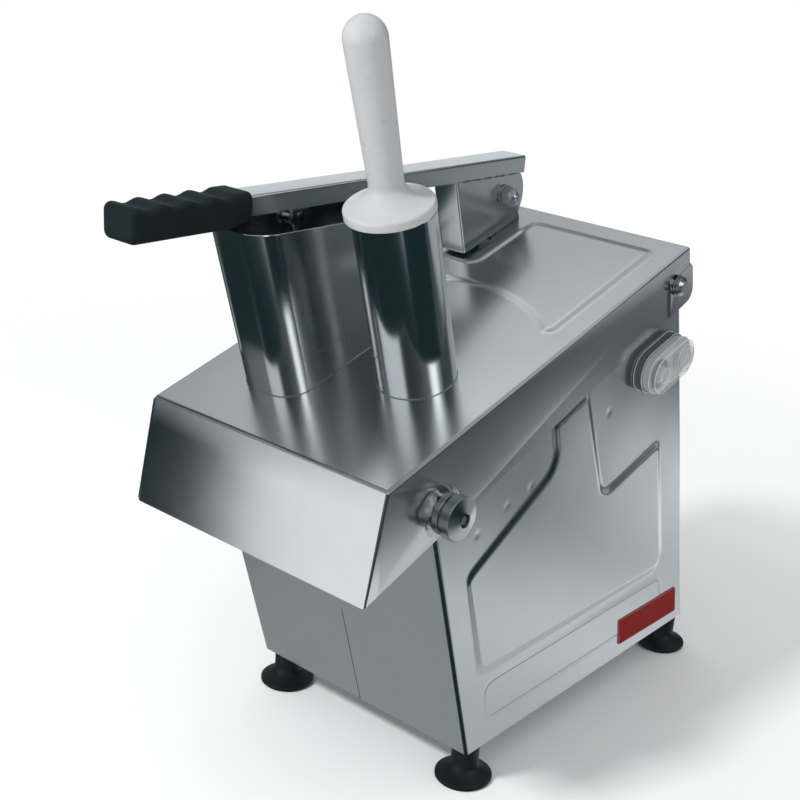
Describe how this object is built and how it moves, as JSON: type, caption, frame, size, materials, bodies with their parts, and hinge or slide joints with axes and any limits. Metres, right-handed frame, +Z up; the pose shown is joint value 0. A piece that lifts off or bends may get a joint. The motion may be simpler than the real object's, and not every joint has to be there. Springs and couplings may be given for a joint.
{
  "type": "vegetable cutter",
  "caption": "Electric vegetable cutter on four feet: sloping hinged cover with a half-moon hopper, hand lever, round feed tube with pestle, side clamp knob and front outlet hood.",
  "frame": {"origin": "on the floor, at the middle of the bounding box seen from above", "axes": "+Z up, -Y towards the front, where the outlet hood is, +X towards the side with the switch and the clamp knob"},
  "size_m": [0.2568, 0.546, 0.5715],
  "materials": {
    "stainless_brushed": "fine satin brushed",
    "stainless_polished": "bright polished",
    "cast_aluminium": "as cast",
    "black_rubber": "matt",
    "grip_rubber": "satin",
    "white_plastic": "milky white, smooth",
    "gasket_rubber": "matt",
    "frame_plastic": "satin",
    "clear_silicone": "clear, soft",
    "button_plastic": "smooth",
    "motor_paint": "satin",
    "black_plastic": "moulded"
  },
  "bodies": {
    "base": {"housing": "stainless_brushed", "base_plate": "stainless_brushed", "foot_front_left": "black_rubber", "foot_front_right": "black_rubber", "foot_rear_left": "black_rubber", "foot_rear_right": "black_rubber", "chamber_tray": "stainless_brushed", "bearing_housing": "cast_aluminium", "upper_bearing": "stainless_polished", "lower_bearing": "stainless_polished", "shaft_seal": "black_rubber", "motor_mount": "cast_aluminium", "motor": "motor_paint", "drive_belt": "black_rubber", "capacitor": "stainless_brushed", "control_box": "black_plastic", "interlock_sensor": "black_plastic", "cable_gland": "black_plastic", "gland_nut": "black_plastic", "switch_gasket": "gasket_rubber", "switch_frame": "frame_plastic", "switch_boot": "clear_silicone", "contact_block": "black_plastic", "knob_stud": "stainless_polished", "hinge_bolt_left": "stainless_polished", "hinge_bolt_right": "stainless_polished", "hinge_washer_left": "stainless_polished", "hinge_washer_right": "stainless_polished", "hinge_nut_left": "stainless_polished", "hinge_nut_right": "stainless_polished"},
    "cover_unit": {"cover": "stainless_brushed", "hopper": "stainless_polished", "round_tube": "stainless_polished", "lever_bracket": "stainless_polished", "interlock_magnet": "black_plastic"},
    "lever": {"lever_bar": "stainless_polished", "cheek_box": "stainless_polished", "lever_grip": "grip_rubber", "pivot_bolt": "stainless_polished", "pivot_washer": "stainless_polished", "pivot_nut": "stainless_polished", "pusher_pin": "stainless_polished"},
    "pusher": {"pusher_rod": "stainless_polished", "pusher_plate": "stainless_polished"},
    "pestle": {"pestle": "white_plastic"},
    "clamp_knob": {"clamp_knob": "stainless_polished"},
    "start_button": {"start_button": "button_plastic"},
    "stop_button": {"stop_button": "button_plastic"},
    "spindle": {"drive_shaft": "stainless_polished", "drive_pin": "stainless_polished", "ejector_disc": "white_plastic", "cutting_disc": "stainless_polished", "blade": "stainless_polished", "blade_screw_1": "stainless_polished", "blade_screw_2": "stainless_polished", "driven_pulley": "cast_aluminium"},
    "motor_rotor": {"motor_shaft": "stainless_polished", "motor_pulley": "cast_aluminium"}
  },
  "joints": [
    {"name": "cover_hinge", "type": "hinge", "parent": "base", "child": "cover_unit", "pos_m": [-0.0067, 0.14533, 0.37275], "axis": [-1, 0, 0], "range_deg": [0, 90]},
    {"name": "lever_pivot", "type": "hinge", "parent": "cover_unit", "child": "lever", "pos_m": [-0.0582, 0.1145, 0.41793], "axis": [-1, 0, 0], "range_deg": [0, 60]},
    {"name": "pusher_hinge", "type": "hinge", "parent": "lever", "child": "pusher", "pos_m": [-0.0582, -0.12003, 0.42777], "axis": [-1, 0, 0], "range_deg": [0, 18.5]},
    {"name": "pestle_slide", "type": "slide", "parent": "cover_unit", "child": "pestle", "axis": [0, -0.2974, 0.9548], "range_m": [0, 0.12]},
    {"name": "clamp_knob_turn", "type": "hinge", "parent": "base", "child": "clamp_knob", "pos_m": [0.118, -0.13536, 0.26176], "axis": [1, 0, 0], "continuous": true},
    {"name": "start_press", "type": "slide", "parent": "base", "child": "start_button", "axis": [-1, 0, 0], "range_m": [0, 0.003], "stiffness_N_per_m": 300},
    {"name": "stop_press", "type": "slide", "parent": "base", "child": "stop_button", "axis": [-1, 0, 0], "range_m": [0, 0.003], "stiffness_N_per_m": 300},
    {"name": "spindle_spin", "type": "hinge", "parent": "base", "child": "spindle", "pos_m": [-0.0067, -0.08383, 0.32599], "axis": [0, -0.2974, 0.9548], "continuous": true},
    {"name": "motor_spin", "type": "hinge", "parent": "base", "child": "motor_rotor", "pos_m": [-0.0067, 0.04576, 0.36635], "axis": [0, -0.2974, 0.9548], "continuous": true}
  ],
  "couplings": [
    {"joint": "pusher_hinge", "follows": "lever_pivot", "ratio": 0.3},
    {"joint": "motor_spin", "follows": "spindle_spin", "ratio": 4.7143}
  ]
}
